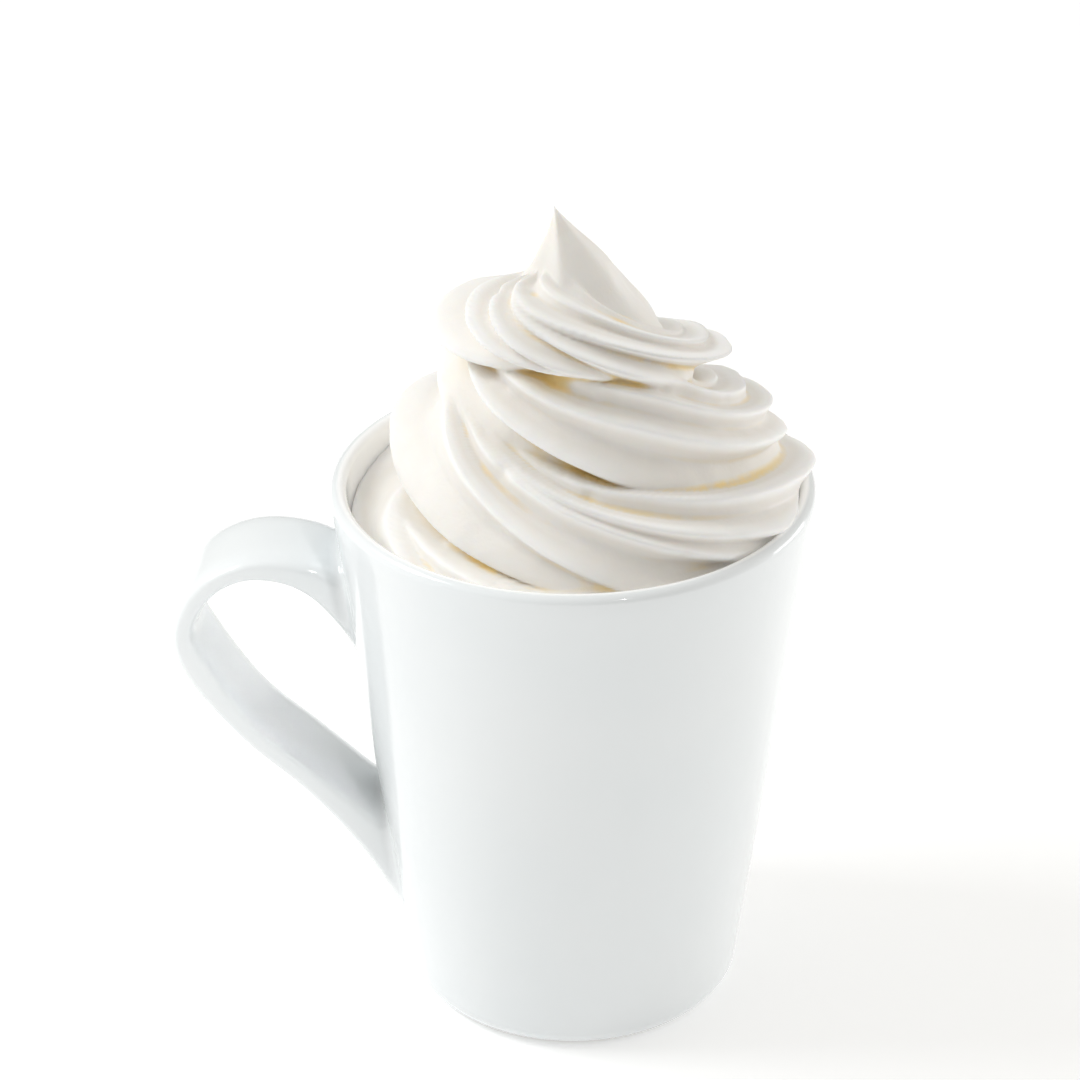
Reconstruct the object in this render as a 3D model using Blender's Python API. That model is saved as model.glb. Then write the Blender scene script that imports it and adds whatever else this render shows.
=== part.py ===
"""A mochaccino in its mug: the mug with its strap handle, the drink and the piped cream.

The mug stands on the plane z = 0 with its axis on the origin and its handle toward -X.
Sizes are in metres and angles in radians.
"""
import math

import bmesh
import bpy
import numpy as np

# ---------------------------------------------------------------- mug
RIM_RADIUS = 0.0450          # outer radius at the rim
BASE_RADIUS = 0.0319         # outer radius that the wall would reach at the foot
MUG_HEIGHT = 0.1072
WALL = 0.0031                # wall thickness
WALL_BULGE = 0.0004          # how far the wall swells at mid-height
LIP_ROUND = 0.00155          # half-round lip, half the wall
FOOT_ROUND = 0.0045          # rounding of the foot's edge
FLOOR = 0.0060               # thickness of the mug's floor
INNER_CORNER = 0.0080        # rounding between the floor and the wall inside
MUG_SEGMENTS = 64

# The handle is a strap: its outer and inner edge, as distance from the axis and height.
HANDLE_WIDTH = 0.0195
HANDLE_SQUARENESS = 0.55     # superellipse power of the strap's section, 1 is an ellipse
HANDLE_STATIONS = 30
HANDLE_SIDES = 14
HANDLE_OUTER = (
    (0.0402, 0.0905), (0.0489, 0.0944), (0.0600, 0.0947), (0.0700, 0.0895), (0.0750, 0.0797),
    (0.0730, 0.0690), (0.0631, 0.0553), (0.0517, 0.0444), (0.0423, 0.0328), (0.0328, 0.0175),
)
HANDLE_INNER = (
    (0.0386, 0.0705), (0.0487, 0.0857), (0.0585, 0.0897), (0.0660, 0.0868), (0.0702, 0.0792),
    (0.0670, 0.0715), (0.0591, 0.0590), (0.0481, 0.0485), (0.0405, 0.0415), (0.0349, 0.0365),
)

# ---------------------------------------------------------------- drink and cream
GAP = 0.0003                 # clearance between touching pieces
LIP_CLEARANCE = 0.0010       # height above the lip from which the cream may bulge over it
DRINK_LEVEL = 0.0930         # surface of the drink, under the cream
DRINK_SEGMENTS = 40

TURN = 2 * math.pi
QUARTER = math.pi / 2
# The piped rope winds outward and down from the tip. Its angle is 0 at the front (-Y), grows
# toward +X and starts at ROPE_START; the lists give its centre line and size at quarter turns.
ROPE_START = -TURN
ROPE_RADII = (
    0.0020, 0.0030, 0.0045, 0.0074, 0.0088, 0.0119, 0.0085, 0.0080, 0.0120,
    0.0263, 0.0218, 0.0210, 0.0256, 0.0334, 0.0312, 0.0335, 0.0335, 0.0325,
    0.0315)
ROPE_HEIGHTS = (
    0.1380, 0.1360, 0.1340, 0.1399, 0.1432, 0.1325, 0.1250, 0.1295, 0.1262,
    0.1159, 0.1060, 0.1176, 0.1095, 0.1046, 0.0970, 0.0945, 0.0930, 0.0910,
    0.0880)
ROPE_HALF_WIDTHS = (
    0.0170, 0.0172, 0.0176, 0.0180, 0.0183, 0.0178, 0.0172, 0.0167, 0.0160,
    0.0130, 0.0128, 0.0127, 0.0127, 0.0126, 0.0124, 0.0124, 0.0124, 0.0124,
    0.0124)
ROPE_HALF_HEIGHTS = (
    0.0070, 0.0072, 0.0076, 0.0086, 0.0067, 0.0055, 0.0085, 0.0101, 0.0115,
    0.0121, 0.0113, 0.0115, 0.0117, 0.0118, 0.0120, 0.0120, 0.0120, 0.0120,
    0.0120)

# The star nozzle's ridges on each lap of the rope: angle above level at the front in degrees,
# how many degrees they sink for each degree that the rope turns, and their bend.
RIDGES = (
    ((-85, 0.90, 0.00), (-40, 1.30, 0.00), (-23, 1.48, 0.05), (14, 1.19, 0.05), (39, 0.53, 0.40),
     (67, 0.45, 0.27), (97, 0.48, 0.18), (130, 0.60, 0.05), (168, 0.84, 0.00)),
    ((-100, 0.90, 0.00), (-61, 0.64, 0.00), (-10, 0.74, 0.10), (36, 0.34, 0.00), (63, 0.58, 0.47),
     (80, 0.62, 0.75), (116, 0.55, 0.45), (146, 0.50, 0.25), (176, 0.50, 0.10)),
    ((-97, 1.00, 0.00), (-34, 0.10, 0.00), (-3, 1.35, -0.24), (46, 0.94, -0.43), (56, 0.84, 0.06),
     (83, 0.57, -0.05), (125, 0.55, 0.00), (165, 0.60, 0.00)))
RIDGE_STEP = math.radians(50)    # usual angle from ridge to ridge
RIDGE_DEPTH = 0.31           # depth of a groove that wide, as a share of the rope's half width
RIDGE_SOFT = 0.04            # bluntness of a ridge
RIDGE_DROOP = 1.55           # above 1, a groove is deepest close under its upper ridge
SHOULDER_RISE = 0.0054       # where the second lap swells up against the first
SHOULDER_AT = TURN + 0.60
SHOULDER_SPAN = 0.48

PEAK_TOP = 0.1615            # height of the pulled-up tip
PEAK_FOOT = 0.1380
PEAK_FOOT_RADIUS = 0.0179
PEAK_POWER = 1.218           # above 1, the peak's sides bend inward
PEAK_LEAN = -0.0033          # how far the tip leans along X
PEAK_LEAN_FROM = 0.1500
PEAK_LEAN_POWER = 1.2
PEAK_RIDGES = 5
PEAK_RIDGE_DEPTH = 0.24
PEAK_RIDGE_SOFT = 0.22       # bluntness of the peak's ridges
PEAK_RIDGE_AT = math.radians(-15)
PEAK_TWIST = -14.0           # radians that its ridges turn for each metre upwards
MIDDLE_HEIGHTS = (0.088, 0.1034, 0.1046, 0.125, 0.143)    # solid cream behind the rope
MIDDLE_RADII = (0.043, 0.0425, 0.0300, 0.016, 0.004)
MIDDLE_TILT = 0.06           # rise toward +X for each metre out from the axis

# The cream's surface is where a fan of rays from the axis leaves it for the last time.
FAN_HEIGHT = 0.1400          # the rays turn up over the top from this height
FAN_REACH = 0.018            # distance at which the fan's rows are a row apart
ROW = 0.0001
TILT = math.radians(15)      # lean of the rays below the fan
MELD = 0.0005                # how far neighbouring laps run together
UNDERCUT = 5.6               # steepest that an underside draws back from row to row
BLUR = 0.00022
SECTION_SAMPLES = 2200
CREAM_COLUMNS = 42
CREAM_ROWS = 68


def fresh_scene():
    """Remove every object, so that only this part is built."""
    for old in list(bpy.data.objects):
        bpy.data.objects.remove(old, do_unlink=True)


def material(name, colour, roughness):
    """A plain Principled material."""
    made = bpy.data.materials.new(name)
    made.use_nodes = True
    shader = made.node_tree.nodes["Principled BSDF"]
    shader.inputs["Base Color"].default_value = (*colour, 1.0)
    shader.inputs["Roughness"].default_value = roughness
    shader.inputs["Metallic"].default_value = 0.0
    return made


def add_object(name, bm, finish):
    """Turn a bmesh into a smooth-shaded object with its material."""
    bmesh.ops.recalc_face_normals(bm, faces=bm.faces)
    mesh = bpy.data.meshes.new(name)
    bm.to_mesh(mesh)
    bm.free()
    mesh.shade_smooth()
    mesh.materials.append(finish)
    made = bpy.data.objects.new(name, mesh)
    bpy.context.scene.collection.objects.link(made)
    return made


def smooth_curve(points, count):
    """Catmull-Rom curve through points, sampled evenly in its parameter."""
    points = np.asarray(points)
    padded = np.vstack([2 * points[0] - points[1], points, 2 * points[-1] - points[-2]])
    t = np.linspace(0, len(points) - 1, count)
    i = np.minimum(t.astype(int), len(points) - 2)
    u = (t - i)[:, None]
    p0, p1, p2, p3 = padded[i], padded[i + 1], padded[i + 2], padded[i + 3]
    return 0.5 * (2 * p1 + (p2 - p0) * u + (2 * p0 - 5 * p1 + 4 * p2 - p3) * u ** 2
                  + (3 * p1 - p0 - 3 * p2 + p3) * u ** 3)


def arc(centre, radius, start, end, steps):
    """Points on an arc in the (radius, height) plane, angles in degrees."""
    angles = np.radians(np.linspace(start, end, steps))
    return [(centre[0] + radius * math.cos(a), centre[1] + radius * math.sin(a)) for a in angles]


def spin(profile, segments):
    """Closed solid of revolution from a profile that runs from axis to axis."""
    bm = bmesh.new()
    rings = []
    for radius, height in profile[1:-1]:
        turn = [2 * math.pi * s / segments for s in range(segments)]
        rings.append([bm.verts.new((radius * math.cos(a), radius * math.sin(a), height)) for a in turn])
    for low, high in zip(rings, rings[1:]):
        for s in range(segments):
            n = (s + 1) % segments
            bm.faces.new((low[s], low[n], high[n], high[s]))
    for ring, end in ((rings[0], profile[0]), (rings[-1], profile[-1])):
        centre = bm.verts.new((0, 0, end[1]))
        for s in range(segments):
            bm.faces.new((ring[s], ring[(s + 1) % segments], centre))
    return bm


def outer_radius(height):
    """Outer radius of the mug's wall: a straight taper with a slight swell."""
    share = height / MUG_HEIGHT
    return BASE_RADIUS + (RIM_RADIUS - BASE_RADIUS) * share + 4 * WALL_BULGE * share * (1 - share)


def inner_radius(height):
    """Inner radius of the mug's wall."""
    return outer_radius(height) - WALL


def mug_profile():
    """The wall's section: underside, foot, outside, lip, inside and floor."""
    foot_centre = (outer_radius(FOOT_ROUND) - FOOT_ROUND, FOOT_ROUND)
    lip_height = MUG_HEIGHT - LIP_ROUND
    lip_centre = (outer_radius(lip_height) - LIP_ROUND, lip_height)
    inner_centre = (inner_radius(FLOOR + INNER_CORNER) - INNER_CORNER, FLOOR + INNER_CORNER)
    points = [(0, 0), (foot_centre[0] * 0.6, 0)]
    points += arc(foot_centre, FOOT_ROUND, -90, -5, 4)
    points += [(outer_radius(z), z) for z in np.linspace(0.030, 0.085, 3)]
    points += arc(lip_centre, LIP_ROUND, 0, 180, 6)
    points += [(inner_radius(z), z) for z in np.linspace(0.085, 0.030, 3)]
    points += arc(inner_centre, INNER_CORNER, 0, -90, 4)
    points += [(0, FLOOR)]
    return points


def handle_mesh():
    """The strap: rounded-rectangle sections between its outer and its inner edge."""
    outer = smooth_curve(HANDLE_OUTER, HANDLE_STATIONS)
    inner = smooth_curve(HANDLE_INNER, HANDLE_STATIONS)
    turn = np.linspace(0, 2 * math.pi, HANDLE_SIDES, endpoint=False)
    across = np.sign(np.cos(turn)) * np.abs(np.cos(turn)) ** HANDLE_SQUARENESS
    through = np.sign(np.sin(turn)) * np.abs(np.sin(turn)) ** HANDLE_SQUARENESS
    bm = bmesh.new()
    rings = []
    for (outer_x, outer_z), (inner_x, inner_z) in zip(outer, inner):
        ring = []
        for side, rise in zip(across, through):
            share = (1 + rise) / 2
            x = inner_x + (outer_x - inner_x) * share
            z = inner_z + (outer_z - inner_z) * share
            ring.append(bm.verts.new((-x, side * HANDLE_WIDTH / 2, z)))
        rings.append(ring)
    for low, high in zip(rings, rings[1:]):
        for s in range(HANDLE_SIDES):
            n = (s + 1) % HANDLE_SIDES
            bm.faces.new((low[s], low[n], high[n], high[s]))
    bm.faces.new(rings[0])
    bm.faces.new(rings[-1])
    return bm


def build_mug():
    """The spun body with the strap handle joined to it as one solid."""
    glaze = material("mug_glaze", (0.86, 0.87, 0.87), 0.15)
    mug = add_object("mug", spin(mug_profile(), MUG_SEGMENTS), glaze)
    strap = add_object("mug_strap_cutter", handle_mesh(), glaze)
    strap.hide_render = True
    strap.display_type = 'WIRE'
    join = mug.modifiers.new("join handle", 'BOOLEAN')
    join.operation = 'UNION'
    join.solver = 'EXACT'
    join.object = strap
    return mug


def build_drink():
    """The coffee up to its level, clear of the wall by the gap."""
    low = FLOOR + GAP
    corner = INNER_CORNER - GAP
    centre = (inner_radius(FLOOR + INNER_CORNER) - INNER_CORNER, FLOOR + INNER_CORNER)
    points = [(0, low)] + arc(centre, corner, -90, 0, 4)
    points += [(inner_radius(z) - GAP, z) for z in np.linspace(0.035, DRINK_LEVEL, 3)]
    points += [(0, DRINK_LEVEL)]
    coffee = material("coffee", (0.10, 0.045, 0.02), 0.2)
    return add_object("drink", spin(points, DRINK_SEGMENTS), coffee)


# ---------------------------------------------------------------- cream surface
CREAM_FOOT = DRINK_LEVEL + GAP
LOWEST_START = CREAM_FOOT - (inner_radius(CREAM_FOOT) - GAP) * math.tan(TILT)
TILTED_ROWS = round((FAN_HEIGHT - LOWEST_START) / ROW)
FAN_ROWS = round(FAN_REACH * (QUARTER - TILT) / ROW)


def on_curve(points, share):
    """Catmull-Rom curve through numbers; share runs from 0 at the first to 1 at the last."""
    points = np.asarray(points, float)
    padded = np.concatenate([[2 * points[0] - points[1]], points, [2 * points[-1] - points[-2]]])
    place = np.clip(np.asarray(share, float), 0, 1) * (len(points) - 1)
    i = np.minimum(place.astype(int), len(points) - 2)
    u = place - i
    a, b, c, d = padded[i], padded[i + 1], padded[i + 2], padded[i + 3]
    return 0.5 * (2 * b + (c - a) * u + (2 * a - 5 * b + 4 * c - d) * u ** 2
                  + (3 * b - a - 3 * c + d) * u ** 3)


def along_rope(values, angle):
    """Value at an angle of the rope: Catmull-Rom curve through the values at quarter turns."""
    return on_curve(values, (angle - ROPE_START) / QUARTER / (len(values) - 1))


def hollow_between(share):
    """sqrt(sin(pi share^droop)^2 + soft^2) scaled to 0..1: deepest close under the upper ridge."""
    wave = np.sqrt(np.sin(math.pi * share ** RIDGE_DROOP) ** 2 + RIDGE_SOFT ** 2)
    return (wave - RIDGE_SOFT) / (math.sqrt(1 + RIDGE_SOFT ** 2) - RIDGE_SOFT)


def fluting(bearing, turned, ridges):
    """Factor on the rope's section: 1 on a ridge, less by a share of the gap's width between two."""
    below = np.full(np.broadcast(bearing, turned).shape, -9.0)
    above = -below
    for start, sink, bend in ridges:
        for lap in (-TURN, 0, TURN):
            ridge = math.radians(start) - sink * turned + bend * (1 - np.cos(turned)) + lap
            below = np.where((ridge <= bearing) & (ridge > below), ridge, below)
            above = np.where((ridge > bearing) & (ridge < above), ridge, above)
    gap = np.minimum(above - below, 2.0)
    depth = RIDGE_DEPTH * np.minimum((gap / RIDGE_STEP) ** 0.6, 1.15)
    return 1 - depth * hollow_between(np.clip((bearing - below) / gap, 0, 1))


def shoulder(angle, bearing):
    """Rise * exp(-((angle - place) / span)^2) * sin(bearing)^2: the rope swells up against a lap."""
    swell = np.exp(-((angle - SHOULDER_AT) / SHOULDER_SPAN) ** 2)
    return SHOULDER_RISE * swell * np.clip(np.sin(bearing), 0, 1) ** 2


def rope_section(turned, bearing, lap):
    """Radius and height of the fluted ellipse of one lap, faded at the back into the lap before."""
    angle = turned + TURN * lap
    here = fluting(bearing, turned, RIDGES[min(lap, 2)])
    before = fluting(bearing, turned + TURN, RIDGES[min(max(lap - 1, 0), 2)])
    fade = np.clip((-turned - 0.7 * math.pi) / (0.3 * math.pi), 0, 1)
    flutes = here + (before - here) * fade
    radius = along_rope(ROPE_RADII, angle) + along_rope(ROPE_HALF_WIDTHS, angle) * flutes * np.cos(bearing)
    height = along_rope(ROPE_HEIGHTS, angle) + along_rope(ROPE_HALF_HEIGHTS, angle) * flutes * np.sin(bearing)
    return radius, height + shoulder(angle, bearing)


def peak_section(turned, rise):
    """Radius foot * (distance below the tip / height) ^ power, less soft ridges that twist upwards."""
    height = PEAK_FOOT + (PEAK_TOP - PEAK_FOOT) * rise
    radius = PEAK_FOOT_RADIUS * ((PEAK_TOP - height) / (PEAK_TOP - PEAK_FOOT)) ** PEAK_POWER
    phase = PEAK_RIDGES * (turned - PEAK_RIDGE_AT - PEAK_TWIST * (height - PEAK_LEAN_FROM)) / TURN
    wave = np.sqrt(np.sin(math.pi * phase) ** 2 + PEAK_RIDGE_SOFT ** 2) - PEAK_RIDGE_SOFT
    return radius * (1 - PEAK_RIDGE_DEPTH * wave), height + 0 * turned


def middle_section(turned, rise):
    """A cone on a low disc out to the wall: radii at given heights, plus tilt * radius * sin(angle)."""
    height = MIDDLE_HEIGHTS[0] + (MIDDLE_HEIGHTS[-1] - MIDDLE_HEIGHTS[0]) * rise
    radius = np.interp(height, MIDDLE_HEIGHTS, MIDDLE_RADII) + 0 * turned
    return radius, height + MIDDLE_TILT * radius * np.sin(turned)


def outermost(radius, height):
    """Longest ray to a section in each row of each column; 0 where no ray meets it."""
    lean = np.maximum(np.arctan2(height - FAN_HEIGHT, np.maximum(radius, 0)), TILT)
    below = (height - radius * math.tan(TILT) - LOWEST_START) / ROW
    fan = lean > TILT
    row = np.where(fan, TILTED_ROWS + (lean - TILT) / (QUARTER - TILT) * FAN_ROWS, below)
    reach = np.where(fan, np.hypot(radius, height - FAN_HEIGHT), radius / math.cos(TILT))
    row = np.floor(row).astype(int)
    inside = (row >= 0) & (row < TILTED_ROWS + FAN_ROWS) & (radius > 0)
    column = np.broadcast_to(np.arange(len(row))[:, None], row.shape)
    skin = np.zeros((len(row), TILTED_ROWS + FAN_ROWS))
    np.maximum.at(skin, (column[inside], row[inside]), reach[inside])
    return skin


def blurred(values, width, axis):
    """Gaussian average over neighbours along one axis; round the swirl the neighbours wrap."""
    size = math.ceil(3 * width)
    weights = np.exp(-0.5 * (np.arange(-size, size + 1) / width) ** 2)
    pad = [(0, 0), (0, 0)]
    pad[axis] = (size, size)
    padded = np.pad(values, pad, mode="wrap" if axis == 0 else "edge")
    count = values.shape[axis]
    parts = [w * np.take(padded, np.arange(k, k + count), axis=axis) for k, w in enumerate(weights)]
    return sum(parts) / weights.sum()


def cream_skin(turned):
    """Melted maximum of all the sections, with undersides filled up to a steepest slope."""
    bearing = np.linspace(-math.pi, math.pi, SECTION_SAMPLES)[None, :]
    rise = np.linspace(0, 1, SECTION_SAMPLES)[None, :]
    skins = [outermost(*rope_section(turned, bearing, lap)) for lap in range(4)]
    skins += [outermost(*peak_section(turned, rise)), outermost(*middle_section(turned, rise))]
    most = np.max(skins, axis=0)
    melted = most + MELD * np.log(sum(np.exp((skin - most) / MELD) for skin in skins))
    slope = UNDERCUT * ROW * np.arange(melted.shape[1])
    return np.maximum.accumulate((melted - slope)[:, ::-1], axis=1)[:, ::-1] + slope


def row_places():
    """Height where each row's ray leaves the axis, and the ray's lean up from level."""
    row = np.arange(TILTED_ROWS + FAN_ROWS) + 0.5
    height = LOWEST_START + (FAN_HEIGHT - LOWEST_START) * np.minimum(row / TILTED_ROWS, 1)
    return height, TILT + (QUARTER - TILT) * np.clip((row - TILTED_ROWS) / FAN_ROWS, 0, 1)


def room(start, lean):
    """How far a ray may reach: to the inner wall less the gap, or freely if it clears the lip."""
    wall_height = start + inner_radius(start) * np.tan(np.minimum(lean, 1.0))
    wall_height = start + inner_radius(wall_height) * np.tan(np.minimum(lean, 1.0))
    reach = (inner_radius(wall_height) - GAP) / np.cos(lean)
    return np.where(wall_height > MUG_HEIGHT + LIP_CLEARANCE, 1.0, reach)


def cream_grid():
    """Points of the cream's surface, as arrays of rows by columns."""
    turned = np.linspace(-math.pi, math.pi, CREAM_COLUMNS, endpoint=False)[:, None]
    start, lean = row_places()
    skin = np.minimum(blurred(cream_skin(turned), BLUR / ROW, 1), room(start, lean))
    kept = np.round(np.linspace(1, len(start) - 4, CREAM_ROWS)).astype(int)
    skin, start, lean = skin[:, kept], start[kept], lean[kept]
    radius = skin * np.cos(lean)
    height = start + skin * np.sin(lean)
    share = np.clip((height - PEAK_LEAN_FROM) / (PEAK_TOP - PEAK_LEAN_FROM), 0, 1.1)
    x = radius * np.sin(turned) + PEAK_LEAN * share ** PEAK_LEAN_POWER
    return x.T, (-radius * np.cos(turned)).T, height.T


def build_cream():
    """The swirl as one closed solid, from its flat foot on the drink to its tip."""
    x, y, z = cream_grid()
    bm = bmesh.new()
    rings = [[bm.verts.new(p) for p in zip(*row)] for row in zip(x, y, z)]
    foot = bm.verts.new((0, 0, CREAM_FOOT))
    tip = bm.verts.new((PEAK_LEAN, 0, PEAK_TOP))
    for c in range(CREAM_COLUMNS):
        n = (c + 1) % CREAM_COLUMNS
        for low, high in zip(rings, rings[1:]):
            bm.faces.new((low[c], low[n], high[c]))      # split along the ridges' slope
            bm.faces.new((low[n], high[n], high[c]))
        bm.faces.new((rings[0][c], rings[0][n], foot))
        bm.faces.new((rings[-1][c], rings[-1][n], tip))
    cream = material("whipped_cream", (0.87, 0.85, 0.81), 0.5)
    return add_object("cream", bm, cream)


fresh_scene()
build_mug()
build_drink()
build_cream()
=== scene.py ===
# %% [markdown]
# # A mochaccino in its mug
# This lesson dresses a finished solid model of a drink: a white glazed mug with a strap handle,
# the coffee inside it and a tall swirl of piped cream. The solid model is loaded first and stays
# fixed. Each step then makes one piece as a numpy surface and gives it a finish from nodes.
# Sizes are in metres, heights are measured from the table, and angles are in radians.

# %% Load the solid model
import math

import bpy
import numpy as np
from mathutils import Matrix, Vector


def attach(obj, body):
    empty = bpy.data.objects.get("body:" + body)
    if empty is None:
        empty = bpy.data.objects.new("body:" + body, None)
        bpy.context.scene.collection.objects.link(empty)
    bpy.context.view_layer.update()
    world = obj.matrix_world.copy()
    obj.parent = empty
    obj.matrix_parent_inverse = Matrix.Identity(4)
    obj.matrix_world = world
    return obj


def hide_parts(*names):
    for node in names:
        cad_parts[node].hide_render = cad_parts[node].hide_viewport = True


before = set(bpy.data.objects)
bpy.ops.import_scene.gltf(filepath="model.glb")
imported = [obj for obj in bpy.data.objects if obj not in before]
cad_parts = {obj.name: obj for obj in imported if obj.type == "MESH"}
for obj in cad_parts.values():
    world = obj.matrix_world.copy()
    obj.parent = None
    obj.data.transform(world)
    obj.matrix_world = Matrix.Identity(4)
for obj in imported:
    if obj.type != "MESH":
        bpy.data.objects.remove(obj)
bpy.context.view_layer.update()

# %% [markdown]
# ## From a grid of points to a mesh
# Nearly every piece here is a stack of rings: a grid of points whose columns run round and whose
# rows run from one end to the other. Neighbouring points make four-sided faces by index
# arithmetic on whole arrays, and a fan of triangles closes each end at a pole. The columns run
# anticlockwise seen from above and the rows start underneath, so the faces point outwards. The
# enclosed volume proves it: it is positive only when they do.

# %% Helpers for ring surfaces
def ring_faces(rows, columns):
    """Point i of ring r joins point i + 1 and the same two points of ring r + 1."""
    row, column = np.meshgrid(np.arange(rows - 1), np.arange(columns), indexing="ij")
    here = row * columns + column
    beside = row * columns + (column + 1) % columns
    return np.stack([here, beside, beside + columns, here + columns], axis=-1).reshape(-1, 4)


def enclosed_volume(mesh):
    """Sum over the triangles of a . (b x c) / 6, which is the volume when all face outwards."""
    mesh.calc_loop_triangles()
    corners = np.empty(len(mesh.loop_triangles) * 3, np.int32)
    mesh.loop_triangles.foreach_get("vertices", corners)
    points = np.empty(len(mesh.vertices) * 3, np.float32)
    mesh.vertices.foreach_get("co", points)
    a, b, c = points.reshape(-1, 3)[corners.reshape(-1, 3)].transpose(1, 0, 2)
    return float((a * np.cross(b, c)).sum() / 6)


def ring_object(name, rings, first_pole, last_pole):
    """Object from rings, an array of rows x columns x 3, closed by a fan at each pole."""
    rows, columns = rings.shape[:2]
    points = np.vstack([rings.reshape(-1, 3), first_pole, last_pole])
    this = np.arange(columns)
    after = (this + 1) % columns
    foot, tip = np.full(columns, rows * columns), np.full(columns, rows * columns + 1)
    top = (rows - 1) * columns
    faces = ring_faces(rows, columns).tolist()
    faces += np.stack([foot, after, this], axis=-1).tolist()
    faces += np.stack([tip, top + this, top + after], axis=-1).tolist()
    mesh = bpy.data.meshes.new(name)
    mesh.from_pydata(points, [], faces)
    mesh.shade_smooth()
    made = bpy.data.objects.new(name, mesh)
    bpy.context.scene.collection.objects.link(made)
    print(name, len(mesh.vertices), "points,", round(enclosed_volume(mesh) * 1e6, 1), "ml")
    return made


def on_curve(points, share):
    """Catmull-Rom curve through points; share runs from 0 at the first to 1 at the last."""
    points = np.asarray(points, float)
    padded = np.concatenate([[2 * points[0] - points[1]], points, [2 * points[-1] - points[-2]]])
    place = np.clip(np.asarray(share, float), 0, 1) * (len(points) - 1)
    i = np.minimum(place.astype(int), len(points) - 2)
    u = place - i
    if points.ndim > 1:
        u = u[..., None]
    a, b, c, d = padded[i], padded[i + 1], padded[i + 2], padded[i + 3]
    return 0.5 * (2 * b + (c - a) * u + (2 * a - 5 * b + 4 * c - d) * u ** 2
                  + (3 * b - a - 3 * c + d) * u ** 3)


# %% [markdown]
# ## The camera
# The camera stands in front of the mug, a little over half a metre away, and looks down on it by
# about thirty degrees, so that the lip shows as an ellipse with the swirl standing in it.

# %% Camera
CAMERA_PLACE = (0.0, -0.5355, 0.3928)
CAMERA_PITCH, CAMERA_ROLL, CAMERA_YAW = 0.5090, -0.0064, -0.0114
CAMERA_LENS, CAMERA_SENSOR = 109.7, 36.0            # millimetres


def camera_matrix(place, pitch, roll, yaw):
    """Columns are the camera's right, up and backward directions and its place."""
    ahead = Vector((math.sin(yaw) * math.cos(pitch), math.cos(yaw) * math.cos(pitch), -math.sin(pitch)))
    level = ahead.cross(Vector((0, 0, 1))).normalized()
    above = level.cross(ahead)
    right = level * math.cos(roll) + above * math.sin(roll)
    up = above * math.cos(roll) - level * math.sin(roll)
    made = Matrix((right, up, -ahead)).transposed().to_4x4()
    made.translation = place
    return made


lens = bpy.data.cameras.new("camera")
lens.lens = CAMERA_LENS
lens.sensor_width = CAMERA_SENSOR
camera = bpy.data.objects.new("camera", lens)
bpy.context.scene.collection.objects.link(camera)
camera.matrix_world = camera_matrix(CAMERA_PLACE, CAMERA_PITCH, CAMERA_ROLL, CAMERA_YAW)
bpy.context.scene.camera = camera
print("camera looks down by", round(math.degrees(CAMERA_PITCH), 1), "degrees")

# %% [markdown]
# ## The mug's body
# A mug like this is cast in a mould as a body of revolution: a straight taper with a hint of
# swell, a rounded foot and a half-round lip. Its section is one profile line from the middle of
# the underside, up the outside, over the lip and down inside. Turning the profile gives the
# surface, finer than the solid model's but with the same sizes.

# %% Mug body
RIM_RADIUS, BASE_RADIUS, MUG_HEIGHT = 0.0450, 0.0319, 0.1072
WALL, WALL_BULGE = 0.0031, 0.0004
LIP_ROUND, FOOT_ROUND = 0.00155, 0.0045
FLOOR, INNER_CORNER = 0.0060, 0.0080
BODY_COLUMNS, SIDE_STEPS, FLAT_STEPS, CORNER_STEPS, LIP_STEPS = 192, 40, 12, 14, 17
SIDE_FOOT, SIDE_TOP, INNER_SIDE_FOOT = 0.0085, 0.1020, 0.0170
HUB, CORNER_SPACE = 0.0020, 0.0010  # smallest ring round a pole; space before a rounded corner


def outer_radius(height):
    """Straight taper from foot to rim plus a parabola that swells it at mid-height."""
    share = height / MUG_HEIGHT
    return BASE_RADIUS + (RIM_RADIUS - BASE_RADIUS) * share + 4 * WALL_BULGE * share * (1 - share)


def inner_radius(height):
    """The outer radius less the wall."""
    return outer_radius(height) - WALL


def arc(middle, radius, start, end, steps):
    """Points (radius, height) on a circle's arc, angles in degrees from level."""
    turn = np.radians(np.linspace(start, end, steps))
    return np.stack([middle[0] + radius * np.cos(turn), middle[1] + radius * np.sin(turn)], axis=-1)


def wall_line(radius_at, start, end):
    """Points (radius, height) up or down one side of the wall."""
    height = np.linspace(start, end, SIDE_STEPS)
    return np.stack([radius_at(height), height], axis=-1)


def flat_line(start, end, height):
    """Points (radius, height) straight out from the middle or back to it."""
    return np.stack([np.linspace(start, end, FLAT_STEPS), np.full(FLAT_STEPS, height)], axis=-1)


def spun(profile, columns):
    """Rings of a profile of (radius, height) turned round the vertical axis."""
    turn = np.linspace(0, 2 * math.pi, columns, endpoint=False)
    radius, height = profile[:, 0, None], profile[:, 1, None]
    return np.stack([radius * np.sin(turn), -radius * np.cos(turn), height + 0 * turn], axis=-1)


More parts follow.
